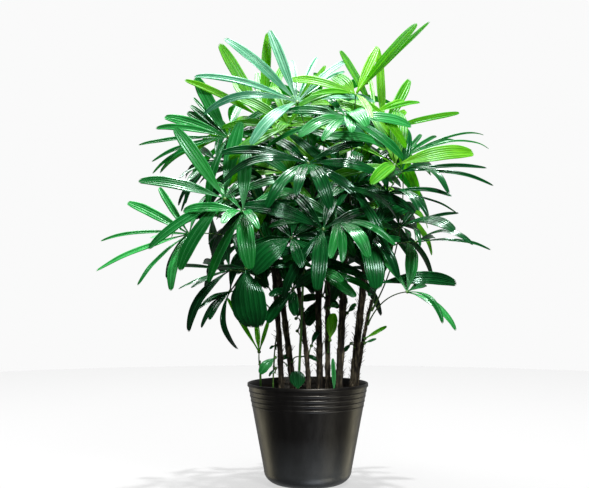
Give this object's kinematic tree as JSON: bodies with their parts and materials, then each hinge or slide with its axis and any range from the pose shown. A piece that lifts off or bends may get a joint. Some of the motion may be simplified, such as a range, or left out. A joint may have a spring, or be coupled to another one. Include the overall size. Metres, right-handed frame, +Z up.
{
  "type": "potted lady palm",
  "caption": "Bushy lady palm with fan leaves on fibre-wrapped canes, planted in a round tapered black nursery pot with a ribbed rim.",
  "frame": {"origin": "centre of the pot's base, on the surface that it stands on", "axes": "+Z up the canes, -Y the front of the plant as pictured, +X to its right"},
  "size_m": [0.971, 0.8019, 1.1262],
  "materials": {
    "pot_plastic": "satin black, moulded",
    "potting_mix": "loose bark-based mix, damp",
    "cane_fibre": "coarse dark brown leaf-sheath fibre",
    "green_stem": "smooth young green stem or cane",
    "leaf_bright": "young leaf, satin, lets light through",
    "leaf_middle": "grown leaf, glossy, pleated",
    "leaf_dark": "old leaf, glossy, pleated"
  },
  "bodies": {
    "root": {"pot": "pot_plastic", "soil": "potting_mix", "stem_a": "green_stem", "stem_b": "green_stem", "cane_d": "green_stem", "cane_b": "cane_fibre", "cane_c": "cane_fibre", "cane_e": "cane_fibre", "cane_f": "cane_fibre", "cane_g": "cane_fibre", "cane_h": "cane_fibre", "cane_i": "cane_fibre", "cane_j": "cane_fibre", "leaf_01": "leaf_middle", "leaf_02": "leaf_bright", "leaf_03": "leaf_bright", "leaf_04": "leaf_bright", "leaf_05": "leaf_bright", "leaf_06": "leaf_bright", "leaf_07": "leaf_dark", "leaf_08": "leaf_bright", "leaf_09": "leaf_dark", "leaf_10": "leaf_dark", "leaf_11": "leaf_dark", "leaf_12": "leaf_middle", "leaf_13": "leaf_middle", "leaf_14": "leaf_middle", "leaf_15": "leaf_middle", "leaf_16": "leaf_dark", "leaf_17": "leaf_middle", "leaf_18": "leaf_dark", "leaf_19": "leaf_middle", "leaf_20": "leaf_dark", "leaf_21": "leaf_dark", "leaf_22": "leaf_middle", "leaf_23": "leaf_dark", "leaf_24": "leaf_dark", "leaf_25": "leaf_dark", "leaf_26": "leaf_dark", "leaf_27": "leaf_dark", "leaf_28": "leaf_dark", "leaf_29": "leaf_dark", "leaf_30": "leaf_middle", "leaf_31": "leaf_middle", "leaf_32": "leaf_dark", "leaf_33": "leaf_dark", "leaf_34": "leaf_bright", "leaf_35": "leaf_bright", "leaf_36": "leaf_middle", "leaf_37": "leaf_dark", "leaf_38": "leaf_middle", "leaf_39": "leaf_middle", "leaf_40": "leaf_middle", "leaf_41": "leaf_middle", "leaf_42": "leaf_dark", "leaf_43": "leaf_dark", "leaf_44": "leaf_dark", "leaf_45": "leaf_dark", "leaf_46": "leaf_dark", "leaf_47": "leaf_dark"}
  },
  "joints": []
}
